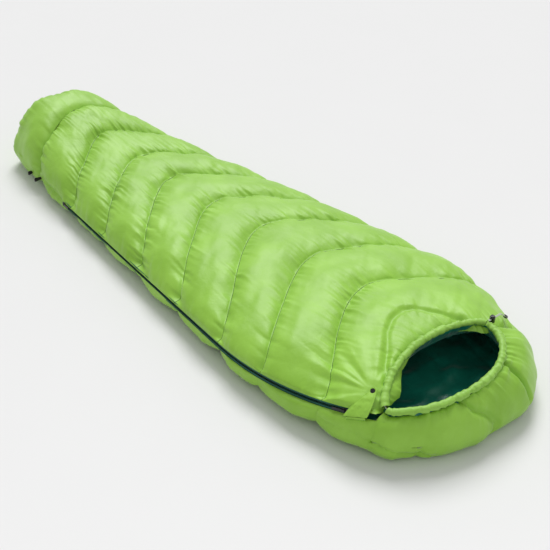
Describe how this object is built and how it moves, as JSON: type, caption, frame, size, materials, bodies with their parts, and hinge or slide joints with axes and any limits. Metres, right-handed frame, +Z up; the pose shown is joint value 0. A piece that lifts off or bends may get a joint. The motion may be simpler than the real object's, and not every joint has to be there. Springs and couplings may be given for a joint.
{
  "type": "mummy sleeping bag",
  "caption": "Padded mummy-shaped sleeping bag lying zipped, with a curved side zip, round face opening with drawcord and lock, and a boxed foot.",
  "frame": {"origin": "middle of the footprint, on the ground", "axes": "+X from the feet to the head, +Y to the sleeper's right, away from the zip, +Z up"},
  "size_m": [2.159, 0.8162, 0.23],
  "materials": {
    "shell_fabric": "satin taffeta",
    "lining_fabric": "satin taffeta",
    "insulation": "matt wadding",
    "zip_tape": "woven",
    "zip_coil": "moulded coil",
    "channel_fabric": "satin taffeta",
    "cord": "braided",
    "tab_fabric": "satin taffeta",
    "slider_metal": "satin enamel",
    "snap_metal": "satin enamel",
    "lock_plastic": "gloss",
    "plunger_plastic": "gloss",
    "spring_steel": "bright",
    "webbing": "woven"
  },
  "bodies": {
    "bag": {"top_shell": "shell_fabric", "top_insulation": "insulation", "top_lining": "lining_fabric", "bottom_shell": "shell_fabric", "bottom_insulation": "insulation", "bottom_lining": "lining_fabric", "footbox_shell": "shell_fabric", "footbox_insulation": "insulation", "footbox_lining": "lining_fabric", "hood_shell": "shell_fabric", "hood_insulation": "insulation", "hood_lining": "lining_fabric", "neck_baffle": "lining_fabric", "draught_tube": "lining_fabric", "zip_tape_top": "zip_tape", "zip_tape_bottom": "zip_tape", "zip_coil_top": "zip_coil", "zip_coil_bottom": "zip_coil", "zip_stop_foot": "zip_coil", "zip_stops_head": "zip_coil", "hood_rim_channel": "channel_fabric", "chest_hem_channel": "channel_fabric", "hood_drawcord": "cord", "tab_anchor": "tab_fabric", "snap_socket": "snap_metal", "cord_strand_head": "cord", "cord_strand_foot": "cord", "cord_end_bead": "lock_plastic", "foot_loop_1": "webbing", "foot_loop_2": "webbing"},
    "head_slider": {"zip_slider_head": "slider_metal"},
    "head_outer_pull": {"zip_pull_head_outer": "slider_metal"},
    "head_inner_pull": {"zip_pull_head_inner": "slider_metal"},
    "foot_slider": {"zip_slider_foot": "slider_metal"},
    "foot_pull": {"zip_pull_foot_outer": "slider_metal"},
    "tab": {"snap_tab": "tab_fabric", "snap_stud": "snap_metal"},
    "cord_lock": {"cord_lock_barrel": "lock_plastic", "cord_lock_spring": "spring_steel"},
    "lock_button": {"cord_lock_plunger": "plunger_plastic"}
  },
  "joints": [
    {"name": "head_slider_travel", "type": "hinge", "parent": "bag", "child": "head_slider", "pos_m": [0.48448, 0.61144, 0.41667], "axis": [-0.0575, -0.3209, 0.9454], "range_deg": [-21.8, 0]},
    {"name": "head_outer_pull_swing", "type": "hinge", "parent": "head_slider", "child": "head_outer_pull", "pos_m": [0.82575, -0.35637, 0.11187], "axis": [-0.1964, 0.124, 0.9726], "range_deg": [0, 100]},
    {"name": "head_inner_pull_swing", "type": "hinge", "parent": "head_slider", "child": "head_inner_pull", "pos_m": [0.82254, -0.34459, 0.10972], "axis": [0.1964, -0.124, -0.9726], "range_deg": [0, 80]},
    {"name": "foot_slider_travel", "type": "slide", "parent": "bag", "child": "foot_slider", "axis": [0.9921, -0.1243, 0.0181], "range_m": [0, 0.915]},
    {"name": "foot_pull_swing", "type": "hinge", "parent": "foot_slider", "child": "foot_pull", "pos_m": [-0.60243, -0.27339, 0.0532], "axis": [0.0005, -0.1403, -0.9901], "range_deg": [0, 100]},
    {"name": "tab_swing", "type": "hinge", "parent": "bag", "child": "tab", "pos_m": [0.83921, -0.3686, 0.10998], "axis": [0.8911, 0.4099, 0.1945], "range_deg": [0, 140]},
    {"name": "cord_lock_travel", "type": "slide", "parent": "bag", "child": "cord_lock", "axis": [0, 1, 0], "range_m": [0, 0.022]},
    {"name": "lock_button_press", "type": "slide", "parent": "cord_lock", "child": "lock_button", "axis": [0, 0, -1], "range_m": [0, 0.003], "stiffness_N_per_m": 600, "springref_m": -0.001, "deforming": ["cord_lock_spring"]}
  ]
}
